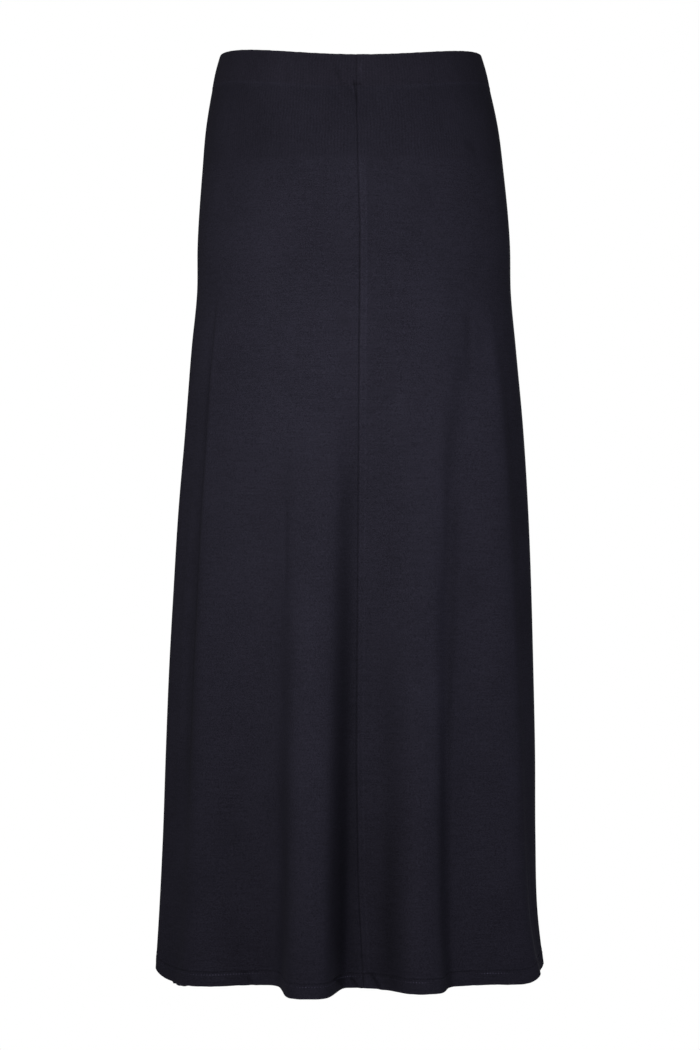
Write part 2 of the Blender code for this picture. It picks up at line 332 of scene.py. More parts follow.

# A crease runs between two points of the cloth, each an angle and a height in mm. Width
# and depth are in mm, and a positive depth stands out. The last column is painted light
# along it, and painted shade where it is below 0. DEGREE_MM is about the cloth's width
# for each degree. A crease comes up over the first share of its run and fades over the last.
DEGREE_MM = 2.8
CREASE_START = (0, 0.25)
CREASE_END = (0.7, 1)
Crease = namedtuple(
    "Crease", "angle height to_angle to_height width depth lighter", defaults=(0,)
)
CREASES = (
    # Sharp starts of the front's four fold lines, and light and shade beside them
    Crease(43.2, -248, 42.0, -330, 5, -0.6, -0.14),
    Crease(46.4, -256, 45.2, -320, 3, 0.3, 0.05),
    Crease(-57.6, -258, -59.0, -800, 3, -0.8, -0.22),
    Crease(-60.5, -255, -62.5, -860, 9, 0, -0.12),
    Crease(-54.0, -250, -54.5, -560, 5, 0, 0.08),
    Crease(-21.6, -436, -20.6, -560, 3, -0.8),
    Crease(-1.2, -318, -2.6, -440, 7, -1.1),
    Crease(70.5, -815, 77.5, -935, 2, 0.5, 0.12),
    Crease(76.5, -820, 83.5, -935, 5, 0, -0.12),
    Crease(-20.1, -440, -20.5, -1080, 7, 0, 0.3),
    Crease(32, -540, 30.2, -1080, 2.6, 0, -0.16),
    Crease(28.9, -400, 28.0, -740, 5, 0, 0.24),
    Crease(35.6, -390, 31.6, -700, 5, 0, -0.17),
    Crease(-60.0, -262, -62.4, -420, 3, 0, -0.14),
    # Shallow valleys and slack between the folds
    Crease(13.4, -372, 14.5, -640, 10, -1.2),
    Crease(-37, -680, -39.5, -905, 17, -1.8),
    Crease(-33, -410, -30.5, -760, 12, 0.9),
    Crease(-47, -375, -49, -790, 12, -0.7),
    Crease(50, -395, 46, -870, 14, 0.9),
    Crease(38, -470, 39.5, -905, 9, -0.7),
    Crease(-12, -560, -11.5, -930, 6, 0.5),
    Crease(20, -520, 20.5, -930, 8, 0.6),
    Crease(-70, -420, -72, -840, 9, 0.8),
    # Dimples and drags over the hips
    Crease(-24, -209, -14, -214, 9, -0.9),
    Crease(-21, -83, -16.5, -86, 6, -0.5),
    Crease(25, -130, 31, -133, 8, -0.5),
    Crease(20, -197, 24, -203, 8, -0.5),
    Crease(-42, -118, -22, -152, 10, 0.45),
    Crease(34, -158, 12, -182, 10, -0.4),
    Crease(17, -95.5, 40, -93.5, 2.4, 0.7, 0.05),
    Crease(37, -93.5, 61, -88, 2.2, 1.0, 0.08),
    Crease(45.5, -85.5, 55, -92, 5, -1.3, -0.16),
    # Pulls beside the centre front seam, under the band
    Crease(-9, 5, -1.5, -44, 3.5, 0.5),
    Crease(-8.6, -2, 1.6, -52, 1.9, -0.6, -0.14),
    Crease(-2.4, -26, 1.8, -46, 1.6, -0.6, -0.2),
    Crease(-5.6, -20, 0.4, -58, 1.8, -0.3, -0.08),
    Crease(-0.2, -29.6, 5.0, -29.8, 0.9, -0.5, -0.6),
    Crease(1.3, -24, 2.4, -50, 0.9, -0.8, -0.25),
    Crease(11, -24, 3.8, -48, 3, 0.4),
    # Hips and back, as uneven as the front
    Crease(96, -96, 118, -90, 2.4, 0.4),
    Crease(128, -120, 150, -152, 10, -0.5),
    Crease(176, -30, 182, -72, 4, 0.4),
    Crease(205, -112, 228, -96, 3, 0.4),
    Crease(196, -214, 206, -208, 9, -0.8),
    Crease(158, -250, 160, -330, 3, -0.7),
    Crease(236, -240, 238, -318, 3, -0.7),
    Crease(144, -430, 142, -800, 11, 0.9),
    Crease(182, -470, 181, -905, 10, -1.0),
    Crease(214, -420, 216, -860, 11, 0.8),
    Crease(243, -520, 246, -900, 13, -1.1),
    Crease(258, -380, 260, -760, 10, 0.7),
    Crease(98, -360, 97, -720, 10, -0.8),
    Crease(122, -560, 121, -905, 11, -0.9),
    # Puckers in the hem
    Crease(-35.0, -931, -30.6, -949, 2.2, -2.2, -0.22),
    Crease(-31.5, -934, -29.5, -952, 3, 0.9, 0.08),
    Crease(-4.6, -930, -1.6, -948, 2.0, -2.2, -0.22),
    Crease(-2.2, -931, 0.4, -950, 2.2, 1.3, 0.12),
    Crease(-0.6, -936, 3.2, -953, 1.8, -1.5, -0.3),
    Crease(5.2, -931, 9.0, -950, 2.2, -2.2, -0.22),
    Crease(8.0, -933, 10.0, -952, 2.4, 1.0, 0.1),
    Crease(11.5, -932, 13.5, -948, 2.0, -0.8, -0.1),
    Crease(24, -935, 22.5, -952, 2.2, -0.6),
    Crease(-49, -935, -48, -952, 2.4, -0.6),
    Crease(47, -935, 48.5, -952, 2.2, -0.6),
    Crease(88, -932, 90.5, -952, 1.8, -0.8),
    Crease(131, -934, 133, -952, 2.2, -0.7),
    Crease(169, -933, 168, -952, 2.0, -0.8),
    Crease(203, -934, 205, -952, 2.2, -0.7),
    Crease(268, -932, 270.5, -952, 1.8, -0.8),
)

# Patches of painted light and painted shade, where the cloth is painted lighter or
# darker. Heights, half-widths and half-heights are in mm.
Patch = namedtuple("Patch", "angle height width tall lighter")
PAINTED_LIGHT_PATCHES = (
    # Front and sides
    Patch(-19, -211, 14, 7, -0.1),
    Patch(-19, -85, 9, 4, -0.07),
    Patch(27.8, -131, 11, 5, -0.06),
    Patch(20, -202, 14, 9, -0.05),
    Patch(4.0, -18, 2.6, 9, 0.22),
    Patch(0, 12, 60, 4, 0.05),
    Patch(67, -860, 24, 80, 0.15),
    Patch(53, -290, 12, 45, 0.15),
    Patch(66, -400, 20, 120, -0.13),
    Patch(-14, -900, 22, 60, -0.07),
    Patch(24, -610, 10, 60, 0.1),
    Patch(1, -440, 9, 70, -0.14),
    Patch(-38, -405, 30, 40, -0.07),
    Patch(10, -450, 26, 60, -0.06),
    Patch(10, -145, 30, 40, -0.06),
    Patch(-20.5, -470, 10, 30, 0.08),
    Patch(-3, -850, 6, 120, -0.15),
    Patch(-42, -45, 20, 25, 0.07),
    Patch(-58, -55, 22, 75, 0.09),
    Patch(-87, -80, 16, 70, -0.12),
    Patch(87, -70, 14, 60, -0.12),
    Patch(64, -150, 25, 50, 0.06),
    Patch(-18, -45, 16, 18, -0.07),
    Patch(57, -710, 12, 110, 0.07),
    Patch(59, -300, 8, 40, 0.1),
    Patch(-41, -580, 22, 200, -0.06),
    Patch(-43, -780, 16, 60, -0.09),
    Patch(45, -620, 30, 120, 0.04),
    Patch(-12, -640, 14, 170, 0.06),
    Patch(0.2, -740, 8, 210, -0.34),
    Patch(11.5, -890, 8, 75, -0.25),
    Patch(8, -720, 16, 130, -0.06),
    Patch(27, -700, 11, 170, 0.13),
    Patch(-62, -340, 62, 170, 0.14),
    Patch(-52, -270, 40, 60, 0.06),
    Patch(46, -340, 62, 130, 0.12),
    Patch(74, -40, 45, 70, -0.18),
    Patch(-36, -880, 26, 70, -0.08),
    Patch(0, -330, 130, 110, 0.05),
    # Back
    Patch(150, -225, 16, 8, -0.07),
    Patch(214, -260, 20, 9, -0.06),
    Patch(182, -360, 130, 120, 0.05),
)

# The camera stands where the photograph's perspective puts it
CAMERA_DISTANCE = 3.1
CAMERA_HEIGHT = -0.4758
CAMERA_SIDE = -0.0007
CAMERA_LENS = 101.39
CAMERA_SENSOR = 36
CAMERA_REACH = 50

# The floor is below the hem, and has faded out where the camera would see past the hem
FLOOR_LEVEL = -1.15
FLOOR_REACH = 0.7
FLOOR_CORNERS = ((-1, -1), (1, -1), (1, 1), (-1, 1))
FLOOR_FADE = (0.2, 0.62)  # distances from the middle
FLOOR_COVER = 0.35
FLOOR_COLOURS = ((0.80, 0.80, 0.81, 1), (0.84, 0.84, 0.85, 1))
FLOOR_SPECKLE = 9.0
FLOOR_ROUGHNESS = 0.9
FLOOR_SPECULAR = 0.2

# The light: a dim room with a white backdrop, and soft lights that the camera can't see
ROOM_COLOUR = (0.97, 0.96, 1.08, 1)
ROOM_STRENGTH = 0.27
BACKDROP_COLOUR = (1, 1, 1, 1)
BACKDROP_STRENGTH = 1.0
Light = namedtuple("Light", "name place target size power colour")
LIGHTS = (
    Light("key", (-0.15, -0.95, -0.3), (0, 0, -0.35), (0.4, 0.4), 6.4, (1, 1, 1)),
    Light("fill", (0.9, -0.9, -0.3), (0, 0, -0.35), (0.4, 0.6), 1.3, (0.9, 0.95, 1.15)),
    Light("rear", (0.2, 1.0, -0.3), (0, 0, -0.4), (0.5, 0.5), 9, (1, 1, 1)),
)


def curve_through(heights, values, height):
    """A smooth curve through the table's values, read at each height."""
    order = np.argsort(heights)
    known = np.asarray(heights, float)[order]
    values = np.asarray(values, float)[order]
    slopes = np.gradient(values, known)
    height = np.clip(height, known[0], known[-1])
    i = np.clip(np.searchsorted(known, height) - 1, 0, len(known) - 2)
    span = known[i + 1] - known[i]
    t = (height - known[i]) / span
    start = (1 + 2 * t) * (1 - t) ** 2 * values[i]
    end = t**2 * (3 - 2 * t) * values[i + 1]
    leave = t * (1 - t) ** 2 * span * slopes[i]
    arrive = t**2 * (t - 1) * span * slopes[i + 1]
    return start + end + leave + arrive


def reach_at(column, height):
    """One column of the section table, in metres, at each height."""
    heights = [row.height for row in SECTIONS_MM]
    values = [getattr(row, column) for row in SECTIONS_MM]
    return curve_through(heights, values, np.asarray(height) / MM) * MM


def fold_share(fold, height):
    """How much of its depth a fold has at each height, from 0 to 1."""
    height = np.asarray(height) / MM
    return np.clip((fold.top - height) / (fold.top - fold.full), 0, 1) ** FOLD_GROWTH


def turned_from(angle, middle):
    """Degrees from the middle angle, between -180 and 180."""
    return (angle - middle + 180) % 360 - 180


def fold_shape(fold, angle, height):
    """The fold's cross-section, about 1 between its flanks and 0 outside them."""
    middle = (fold.before_hem + fold.after_hem) / 2
    angle = (np.asarray(angle) - middle + 180) % 360 + middle - 180
    hem = HEM_LEVEL / MM
    up = np.clip((np.asarray(height) / MM - hem) / (fold.top - hem), 0, 1)
    turned = up**fold.bend
    before = fold.before_hem + (fold.before_top - fold.before_hem) * turned
    after = fold.after_hem + (fold.after_top - fold.after_hem) * turned
    before_soft = fold.before_soft * (1 + fold.before_softer * up)
    after_soft = fold.after_soft * (1 + fold.after_softer * up)
    opening = np.tanh((angle - before) / before_soft)
    return (opening - np.tanh((angle - after) / after_soft)) / 2


def outer_face(angle, height):
    """Points on the cloth's outer face, for arrays of angles and heights."""
    turn = np.radians(angle)
    sine, cosine = np.sin(turn), np.cos(turn)
    side = np.where(sine < 0, reach_at("minus_x", height), reach_at("plus_x", height))
    ahead = np.where(cosine > 0, reach_at("front", height), reach_at("back", height))
    square = 1 + SQUARENESS * np.sin(2 * turn) ** 2
    folds = sum(
        fold.depth * MM * fold_share(fold, height) * fold_shape(fold, angle, height)
        for fold in FOLDS
    )
    normal_x, normal_y = ahead * sine, -side * cosine
    length = np.hypot(normal_x, normal_y)
    x = side * sine * square + folds * normal_x / length
    y = -ahead * cosine * square + folds * normal_y / length
    return np.stack([x, y, height + 0 * x], axis=-1)


def outward(angle, height):
    """Unit normals of the outer face."""
    step = math.degrees(SLOPE_STEP)
    along = outer_face(angle + step, height) - outer_face(angle - step, height)
    up = outer_face(angle, height + SLOPE_STEP) - outer_face(angle, height - SLOPE_STEP)
    normal = np.cross(along, up)
    return normal / np.linalg.norm(normal, axis=-1, keepdims=True)


def waist_line(angle, at_sides, dip):
    """Height of a line round the waist that dips in front and rises behind."""
    cosine = np.cos(np.radians(np.asarray(angle) - CENTRE_FRONT))
    in_front = np.clip(cosine, 0, 1) ** DIP_SHARPNESS
    behind = np.clip(-cosine, 0, 1) ** 2
    return at_sides - dip * in_front + BACK_RISE * behind


def hem_line(angle):
    """Height of the hem's edge."""
    lift = sum(fold.rise * MM * fold_shape(fold, angle, HEM_LEVEL) for fold in FOLDS)
    return HEM_LEVEL + lift


def hill(distance, width):
    """1 at no distance, fading either side within about the width."""
    return np.exp(-((distance / width) ** 2))


def rise(value, start, end):
    """Goes smoothly from 0 at start to 1 at end."""
    share = np.clip((value - start) / (end - start), 0, 1)
    return share * share * (3 - 2 * share)


def pressed(across, start, end):
    """The strip where a seam's allowance shows through: 1 between its two edges."""
    return rise(across, *start) * (1 - rise(across, *end))


def waves(angle, table):
    """Uneven small waves round the skirt, mostly within -1 to 1."""
    turn = np.radians(angle)
    return sum(w.share * np.sin(w.count * turn + w.phase) for w in table) / 2


def hem_edge(angle):
    """The hem's edge with its slight waver."""
    return hem_line(angle) + HEM_WAVER * waves(angle, PUCKER_WAVES)


def seam_lean(height):
    """How far the centre front seam leans at each height, in degrees."""
    heights = [lean.height * MM for lean in SEAM_LEAN]
    return np.interp(height, heights, [lean.degrees for lean in SEAM_LEAN])


def leaned(angle, height):
    """Angles moved along with the leaning seam, wholly at it and less farther away."""
    return angle + seam_lean(height) * hill(angle - CENTRE_FRONT, LEAN_WIDTH)


def from_seam(angle, height, seam):
    """Distance along the cloth from a seam, positive towards greater angles."""
    if seam == CENTRE_FRONT:
        seam = seam + seam_lean(height)
    before = outer_face(seam - 0.5 + 0 * height, height)
    after = outer_face(seam + 0.5 + 0 * height, height)
    for_each_degree = np.linalg.norm(after - before, axis=-1)
    return turned_from(angle, seam) * for_each_degree


def crease_sum(angle, height, column):
    """One column of the crease table, added up at each place of the cloth."""
    total = np.zeros_like(angle)
    for crease in CREASES:
        middle = (crease.angle + crease.to_angle) / 2
        across = turned_from(angle, middle) * DEGREE_MM
        down = height / MM - crease.height
        run = (crease.to_angle - crease.angle) * DEGREE_MM
        drop = crease.to_height - crease.height
        across = across + run / 2
        share = np.clip((across * run + down * drop) / (run**2 + drop**2), 0, 1)
        distance = np.hypot(across - share * run, down - share * drop)
        fading = rise(share, *CREASE_START) * (1 - rise(share, *CREASE_END))
        total += getattr(crease, column) * fading * hill(distance, crease.width)
    return total


def strip_share(angle, height):
    """Where the centre front's seam allowance shows through, from 0 to 1."""
    across = from_seam(angle, height, CENTRE_FRONT)
    strip = pressed(across, STRIP_START, STRIP_END)
    showing = STRIP_LOW + STRIP_GAIN * rise(height, *STRIP_FADE)
    return strip * showing * (1 - rise(height, *STRIP_TOP))


def relief(angle, height):
    """How far the cloth's small details stand out from its face, in metres."""
    up = height - hem_edge(angle)
    under_band = waist_line(angle, BAND_FOOT, FOOT_DIP) - height
    total = crease_sum(angle, height, "depth") * MM
    for seam in (CENTRE_FRONT, LEFT_SIDE, RIGHT_SIDE):
        total = total - SEAM_DEPTH * hill(from_seam(angle, height, seam), SEAM_WIDTH)
    total = total + STRIP_PROUD * strip_share(angle, height)
    for seam, way in ((LEFT_SIDE, 1), (RIGHT_SIDE, -1)):
        across = way * from_seam(angle, height, seam)
        total = total + SIDE_STRIP_PROUD * pressed(across, SIDE_STRIP_START, SIDE_STRIP_END)
    total = total + WAIST_RIDGE * hill(under_band - WAIST_RIDGE_BELOW, WAIST_RIDGE_WIDTH)
    small = waves(angle, PUCKER_WAVES)
    total = total + WAIST_PUCKER * small * hill(under_band, WAIST_PUCKER_WIDTH)
    total = total + HEM_PUCKER * small * (1 - rise(up, *HEM_PUCKER_END))
    total = total - STITCH_SUNK * hill(up - STITCH_ROWS[1], STITCH_SUNK_WIDTH)
    total = total - HEM_LINE_SUNK * hill(up - STITCH_ROWS[0], HEM_LINE_SUNK_WIDTH)
    total = total + HEM_RIDGE * (1 - rise(up, *HEM_RIDGE_END))
    return total


def painted_patch_light(angle, height):
    """How much painted light the patches add at each place, painted shade below 0."""
    total = np.zeros_like(angle)
    for patch in PAINTED_LIGHT_PATCHES:
        across = turned_from(angle, patch.angle) * DEGREE_MM
        down = height / MM - patch.height
        total += patch.lighter * hill(across, patch.width) * hill(down, patch.tall)
    return total


def seam_shade(height):
    """How dark the line in a seam is at each height."""
    shade = SEAM_SHADE_LOW + SEAM_SHADE_GAIN * rise(height, *STRIP_FADE)
    shade = shade - SEAM_SHADE_LOSS * rise(height, *SEAM_SHADE_TOP)
    short = np.sin(height / SEAM_UNEVEN_SHORT)
    shade = shade * (1 + SEAM_UNEVEN * short * np.sin(height / SEAM_UNEVEN_LONG))
    return SEAM_SHADE * shade


def cloth_tone_and_painted_light(angle, height):
    """How light the cloth is: darker in the seams and where it is ribbed, with painted
    light and painted shade over the allowance, the waist seam, the folded edges, the
    hem's line of stitches, the creases and the patches.
    """
    up = height - hem_edge(angle)
    under_band = waist_line(angle, BAND_FOOT, FOOT_DIP) - height
    across = from_seam(angle, height, CENTRE_FRONT)
    # Painted highlights along the allowance's two pressed edges, and painted light over the
    # raised strip
    strip_highlights = sum(hill(across - line, STRIP_HIGHLIGHT_WIDTH) for line in STRIP_HIGHLIGHT_LINES)
    strip_highlights = strip_highlights * (1 - rise(height, *STRIP_TOP))
    painted_light_and_tone = 1 + STRIP_PAINTED_LIGHT * strip_share(angle, height) + STRIP_HIGHLIGHT * strip_highlights
    # Painted highlight along the waist seam's ridge
    centre = hill(np.sin(np.radians(angle - CENTRE_FRONT)), WAIST_LIGHT_GAP)
    waist_highlight_mask = hill(under_band - WAIST_LIGHT_BELOW, WAIST_LIGHT_WIDTH)
    painted_light_and_tone = painted_light_and_tone + WAIST_HIGHLIGHT * (1 - WAIST_LIGHT_LOSS * centre) * waist_highlight_mask
    # Painted light and painted shade from the patches and the creases
    painted_light_and_tone = painted_light_and_tone + painted_patch_light(angle, height) + crease_sum(angle, height, "lighter")
    painted_light_and_tone = painted_light_and_tone + EDGE_LIGHT * hill(up, EDGE_LIGHT_WIDTH)
    # Painted shade in the dip along the upper row of stitches
    painted_light_and_tone = painted_light_and_tone - HEM_LINE_SHADE * hill(up - STITCH_ROWS[0], HEM_LINE_WIDTH)
    painted_light_and_tone = painted_light_and_tone - UPPER_DARKER * rise(height, RIB_FOOT - RIB_BLEND, RIB_FOOT + RIB_BLEND)
    for seam in (CENTRE_FRONT, LEFT_SIDE, RIGHT_SIDE):
        dip = hill(from_seam(angle, height, seam), SEAM_WIDTH)
        painted_light_and_tone = painted_light_and_tone - seam_shade(height) * dip
    return painted_light_and_tone


def face_points(angle, height):
    """Points of the detailed outer face, and its normals without the details."""
    normal = outward(angle, height)
    shift = relief(angle, height)[..., None]
    return outer_face(angle, height) + shift * normal, normal


def panel_grid(first, last):
    """A panel's angles and heights, with rows and columns set by real distance."""
    sample = np.linspace(first, last, ARC_SAMPLES)
    top = waist_line(sample, BAND_FOOT, FOOT_DIP) + TUCK_UNDER_BAND
    bottom = hem_edge(sample)
    length = (top - bottom).mean()
    near_top = np.array(WAIST_ROWS_MM) * MM
    near_hem = length - np.array(HEM_ROWS_MM)[::-1] * MM
    gaps = int((near_hem[0] - near_top[-1]) / ROW_STEP)
    middle = np.linspace(near_top[-1], near_hem[0], gaps + 1)[1:-1]
    down = np.concatenate([near_top, middle, near_hem])[:, None]
    share = down / length
    heights = (top - down) * (1 - share) + (bottom + length - down) * share
    grid = np.repeat(sample[None, :], len(down), axis=0)
    steps = np.linalg.norm(np.diff(outer_face(grid, heights), axis=1), axis=2)
    along = np.concatenate([np.zeros((len(down), 1)), np.cumsum(steps, axis=1)], axis=1)
    edge = np.array(SEAM_COLUMNS_MM) * MM
    columns = int((along[-1, -1] - 2 * edge[-1]) / COLUMN_STEP)
    share = np.linspace(0, 1, columns + 1)[1:-1]
    angles, levels = [], []
    for row_along, row_heights in zip(along, heights):
        total = row_along[-1]
        middle = edge[-1] + (total - 2 * edge[-1]) * share
        places = np.concatenate([edge, middle, total - edge[::-1]])
        angle = np.interp(places, row_along, sample)
        angles.append(angle)
        levels.append(np.interp(angle, sample, row_heights))
    levels = np.array(levels)
    return leaned(np.array(angles), levels), levels


def round_edge(drop, radius=EDGE_RADIUS):
    """How far a folded edge pulls in from each face, for distances from the edge."""
    inside = np.clip(radius - drop, 0, radius)
    return radius - np.sqrt(radius**2 - inside**2)


def shell(name, outer, inner, angles, painted_light_and_tone, material):
    """A closed thin shell from matching grids of outer and inner points."""
    rows, columns = outer.shape[:2]
    count = rows * columns
    index = np.arange(count).reshape(rows, columns)
    a, b = index[:-1, :-1], index[:-1, 1:]
    c, d = index[1:, 1:], index[1:, :-1]
    out = np.stack([a, d, c, b], axis=-1).reshape(-1, 4)
    back = np.stack([a, b, c, d], axis=-1).reshape(-1, 4) + count
    rim = np.concatenate(
        [index[0, :], index[1:, -1], index[-1, -2::-1], index[-2:0:-1, 0]]
    )
    nxt = np.roll(rim, -1)
    sides = np.stack([rim, nxt, nxt + count, rim + count], axis=-1)
    faces = np.concatenate([out, back, sides])
    points = np.concatenate([outer.reshape(-1, 3), inner.reshape(-1, 3)])
    mesh = bpy.data.meshes.new(name)
    mesh.from_pydata(points.tolist(), [], faces.tolist())
    both = np.concatenate([painted_light_and_tone.ravel(), np.ones(count)])
    mesh.attributes.new("painted_light_and_tone", "FLOAT", "POINT").data.foreach_set("value", both)
    turn = np.tile(np.radians(angles).ravel(), 2)
    mesh.attributes.new("turn", "FLOAT", "POINT").data.foreach_set("value", turn)
    mesh.validate()
    mesh.shade_smooth()
    mesh.set_sharp_from_angle(angle=math.radians(SHARP_BEND))
    mesh.materials.append(material)
    piece = bpy.data.objects.new(name, mesh)
    bpy.context.scene.collection.objects.link(piece)
    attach(piece, "root")
    return piece


def jersey(name, dark, light):
    """Fine navy jersey: a fine rib above the hips and a slubby grain across below."""
    material = bpy.data.materials.new(name)
    material.use_nodes = True
    nodes, links = material.node_tree.nodes, material.node_tree.links
    shader = nodes["Principled BSDF"]
    shader.inputs["Specular IOR Level"].default_value = SPECULAR
    place = nodes.new("ShaderNodeTexCoord")

    def noise(grain):
        stretch = nodes.new("ShaderNodeMapping")
        stretch.inputs["Scale"].default_value = grain.fineness
        node = nodes.new("ShaderNodeTexNoise")
        node.inputs["Scale"].default_value = 1.0
        node.inputs["Detail"].default_value = grain.detail
        links.new(place.outputs["Object"], stretch.inputs["Vector"])
        links.new(stretch.outputs["Vector"], node.inputs["Vector"])
        return node.outputs["Fac"]

    def combine(operation, *values):
        node = nodes.new("ShaderNodeMath")
        node.operation = operation
        for socket, value in zip(node.inputs, values):
            if isinstance(value, (int, float)):
                socket.default_value = value
            else:
                links.new(value, socket)
        return node.outputs["Value"]

    def added(grain, base):
        return combine("MULTIPLY_ADD", noise(grain), grain.share, base)

    def spread(value, known, wanted=(0.0, 1.0)):
        node = nodes.new("ShaderNodeMapRange")
        links.new(value, node.inputs["Value"])
        node.inputs["From Min"].default_value = known[0]
        node.inputs["From Max"].default_value = known[1]
        node.inputs["To Min"].default_value = wanted[0]
        node.inputs["To Max"].default_value = wanted[1]
        return node.outputs["Result"]

    def attribute(name):
        node = nodes.new("ShaderNodeAttribute")
        node.attribute_name = name
        return node.outputs["Fac"]

    slubby = added(SLUBS, noise(LOOPS))
    wander = combine("MULTIPLY", noise(RIB_WANDER), RIB_WANDER.share)
    rib = combine("SINE", combine("MULTIPLY_ADD", attribute("turn"), RIB_COUNT, wander))
    ribbed = combine("MULTIPLY_ADD", rib, RIB_SHARE, added(SPECKS, SPECKS_BASE))
    ribbed = added(STREAKS, ribbed)
    split = nodes.new("ShaderNodeSeparateXYZ")
    links.new(place.outputs["Object"], split.inputs["Vector"])
    above = spread(split.outputs["Z"], (RIB_FOOT - RIB_BLEND, RIB_FOOT + RIB_BLEND))
    chosen = nodes.new("ShaderNodeMix")
    links.new(above, chosen.inputs["Factor"])
    links.new(slubby, chosen.inputs["A"])
    links.new(ribbed, chosen.inputs["B"])
    knit = chosen.outputs["Result"]
    mottled = added(MOTTLE, knit)
    bump = nodes.new("ShaderNodeBump")
    bump.inputs["Strength"].default_value = BUMP_STRENGTH
    bump.inputs["Distance"].default_value = BUMP_DISTANCE
    links.new(knit, bump.inputs["Height"])
    links.new(bump.outputs["Normal"], shader.inputs["Normal"])
    links.new(spread(knit, ROUGH_SPREAD, ROUGHNESS), shader.inputs["Roughness"])
    tint = nodes.new("ShaderNodeMix")
    tint.data_type = "RGBA"
    links.new(spread(mottled, COLOUR_SPREAD), tint.inputs["Factor"])
    tint.inputs["A"].default_value = dark
    tint.inputs["B"].default_value = light
    # The base colour is scaled by the point attribute that holds the cloth's tone together
    # with its painted light and painted shade
    shaded = nodes.new("ShaderNodeVectorMath")
    shaded.operation = "SCALE"
    links.new(tint.outputs["Result"], shaded.inputs["Vector"])
    links.new(attribute("painted_light_and_tone"), shaded.inputs["Scale"])
    links.new(shaded.outputs["Vector"], shader.inputs["Base Color"])
    return material


def panel(name, first, last, material):
    """A panel's cloth between two seams, thicker over its turned-up hem."""
    angles, heights = panel_grid(first, last)
    outer, normal = face_points(angles, heights)
    up = (heights - hem_edge(angles))[..., None]
    doubled = 1 - rise(up, *HEM_WALL_END)
    wall = CLOTH + (HEM_WALL - CLOTH) * doubled
    pulled = round_edge(up)
    inner = outer - (wall - pulled) * normal
    outer = outer - pulled * normal
    painted_light_and_tone = cloth_tone_and_painted_light(angles, heights)
    piece = shell(name + "_cloth", outer, inner, angles, painted_light_and_tone, material)
    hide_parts(name)
    return piece


def band(material):
    """The waistband, one strip that meets itself at the centre front seam."""
    beside = np.array(SEAM_COLUMNS_MM) / DEGREE_MM
    between = np.linspace(beside[-1], 360 - beside[-1], BAND_COLUMNS)[1:-1]
    angles = CENTRE_FRONT + np.concatenate([beside, between, 360 - beside[::-1]])
    foot = waist_line(angles, BAND_FOOT, FOOT_DIP)
    top = waist_line(angles, BAND_TOP, TOP_DIP) + BAND_WAVER * waves(angles, PUCKER_WAVES)
    share = np.array(BAND_ROWS)[:, None]
    heights = top + (foot - top) * share
    grid = leaned(np.repeat(angles[None, :], len(share), axis=0), heights)
    normal = outward(grid, heights)
    drop, lift = top - heights, heights - foot
    across = from_seam(grid, heights, CENTRE_FRONT)
    small = BAND_RIB * waves(grid, BAND_RIBS) + BAND_SWELL * np.sin(np.pi * share)
    small = small - SEAM_DEPTH * hill(across, SEAM_WIDTH)
    small = small - BAND_DIP * hill(np.hypot(across, lift), BAND_DIP_WIDTH)
    small = small + BAND_STRIP_PROUD * pressed(across, BAND_STRIP_START, BAND_STRIP_END)
    small = small + crease_sum(grid, heights, "depth") * MM
    pulled = round_edge(drop) + round_edge(lift, BAND_PROUD / 2)
    outer = outer_face(grid, heights) + (BAND_PROUD + small - pulled)[..., None] * normal
    back = round_edge(drop) - BAND_WALL + BAND_PROUD
    inner = outer_face(grid, heights) + (back + small * BAND_INSIDE)[..., None] * normal
    painted_light_and_tone = 1 - SEAM_SHADE * BAND_SEAM_SHADE * hill(across, SEAM_WIDTH)
    # Painted highlight along the band's top edge, and painted light and painted shade from the
    # patches and creases
    painted_light_and_tone = painted_light_and_tone + EDGE_LIGHT * hill(drop, BAND_LIGHT_WIDTH)
    painted_light_and_tone = painted_light_and_tone + painted_patch_light(grid, heights) + crease_sum(grid, heights, "lighter")
    piece = shell("waistband_cloth", outer, inner, grid, painted_light_and_tone, material)
    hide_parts("waistband")
    return piece


def read_along(places, along, values):
    """Rows of three values each, read at places along a line."""
    return np.stack([np.interp(places, along, column) for column in values.T], axis=-1)


def thread_tone(angle, light):
    """How light the thread is round the hem."""
    bright = sum(hill(turned_from(angle, s.angle), s.width) for s in THREAD_SHINES)
    uneven = THREAD_EVEN + THREAD_UNEVEN * waves(angle, SHINE_WAVES)
    return 1 + (light - 1) * (THREAD_LEAST + bright) * uneven


